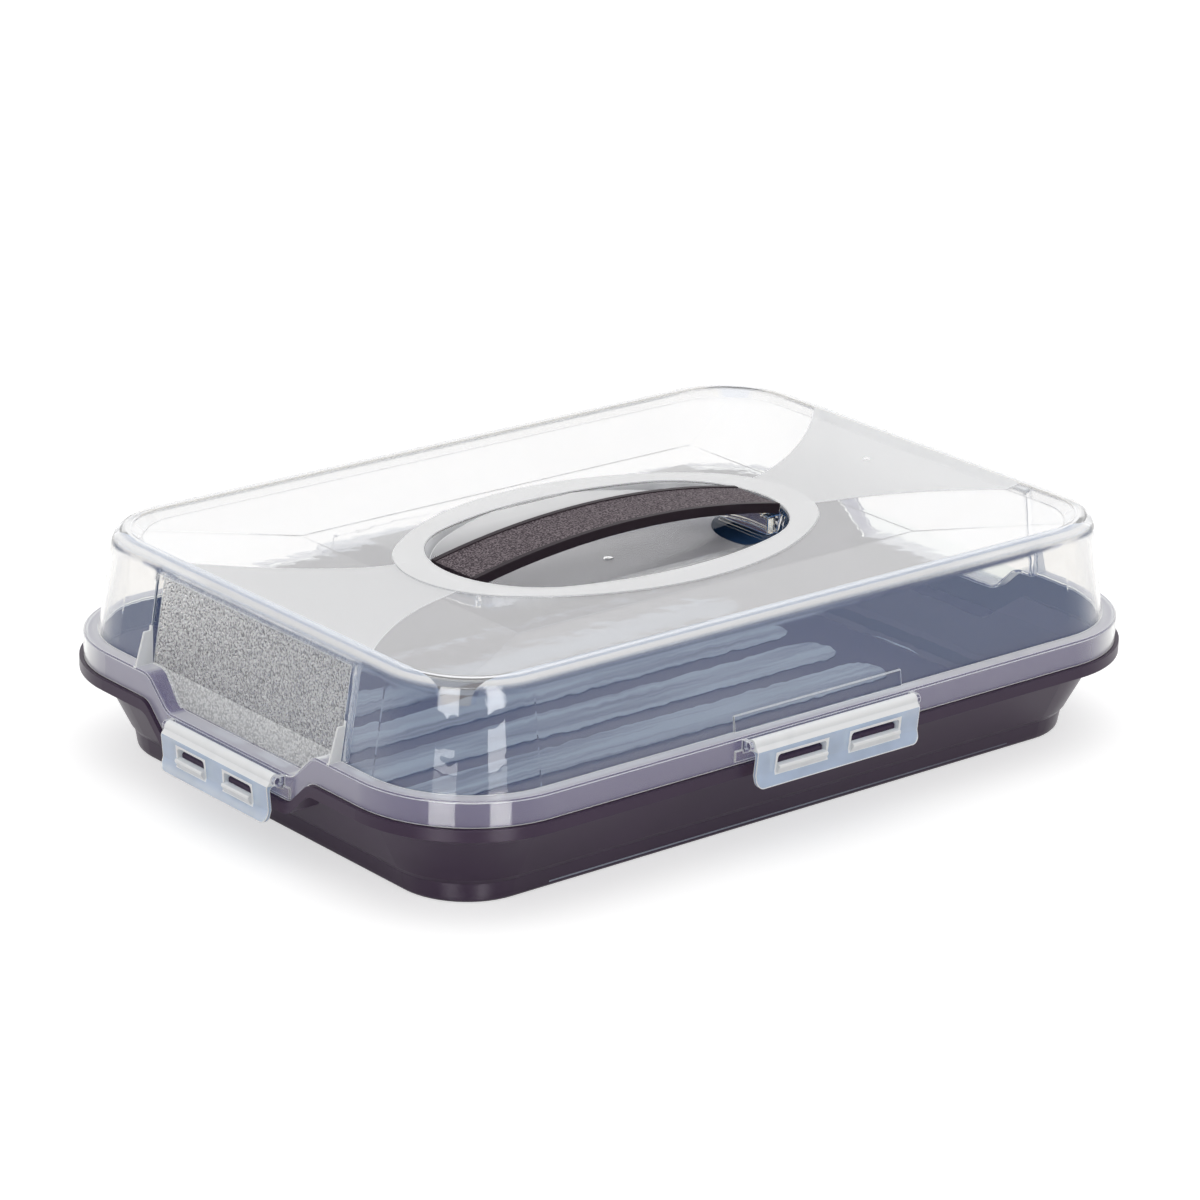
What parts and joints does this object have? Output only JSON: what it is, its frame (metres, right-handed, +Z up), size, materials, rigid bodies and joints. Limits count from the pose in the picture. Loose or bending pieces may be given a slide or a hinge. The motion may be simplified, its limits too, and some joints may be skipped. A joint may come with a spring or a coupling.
{
  "type": "cake carrier",
  "caption": "Rectangular cake carrier: deep tray whose rim dips at both ends, clear lift-off hood with an oval well and strap handle, hinged clips hooking hood to tray.",
  "frame": {"origin": "middle of the tray's underside, on the surface it stands on", "axes": "+Z up, +X along the tray towards its right end, +Y towards the back long side"},
  "size_m": [0.4646, 0.3346, 0.1122],
  "materials": {
    "tray_plastic": "glossy dark aubergine polypropylene",
    "hood_plastic": "clear polypropylene with a faint blue-white haze",
    "handle_plastic": "aubergine polypropylene with a pebbled top",
    "clip_plastic": "milky natural polypropylene"
  },
  "bodies": {
    "base": {"base_tray": "tray_plastic"},
    "hood": {"hood": "hood_plastic", "carry_handle": "handle_plastic"},
    "clip_front": {"clip_front": "clip_plastic"},
    "clip_back": {"clip_back": "clip_plastic"},
    "clip_left": {"clip_left": "clip_plastic"},
    "clip_right": {"clip_right": "clip_plastic"}
  },
  "joints": [
    {"name": "lid_lift", "type": "slide", "parent": "base", "child": "hood", "axis": [0, 0, 1], "range_m": [0, 0.03]},
    {"name": "clip_front_hinge", "type": "hinge", "parent": "hood", "child": "clip_front", "pos_m": [0, -0.1615, 0.0557], "axis": [-1, 0, 0], "range_deg": [0, 150]},
    {"name": "clip_back_hinge", "type": "hinge", "parent": "hood", "child": "clip_back", "pos_m": [0, 0.1615, 0.0557], "axis": [1, 0, 0], "range_deg": [0, 150]},
    {"name": "clip_left_hinge", "type": "hinge", "parent": "hood", "child": "clip_left", "pos_m": [-0.2265, 0, 0.0412], "axis": [0, 1, 0], "range_deg": [0, 150]},
    {"name": "clip_right_hinge", "type": "hinge", "parent": "hood", "child": "clip_right", "pos_m": [0.2265, 0, 0.0412], "axis": [0, -1, 0], "range_deg": [0, 150]}
  ],
  "couplings": [
    {"joint": "clip_front_hinge", "follows": "lid_lift", "rad_per_m": 87},
    {"joint": "clip_back_hinge", "follows": "lid_lift", "rad_per_m": 87},
    {"joint": "clip_left_hinge", "follows": "lid_lift", "rad_per_m": 87},
    {"joint": "clip_right_hinge", "follows": "lid_lift", "rad_per_m": 87}
  ]
}
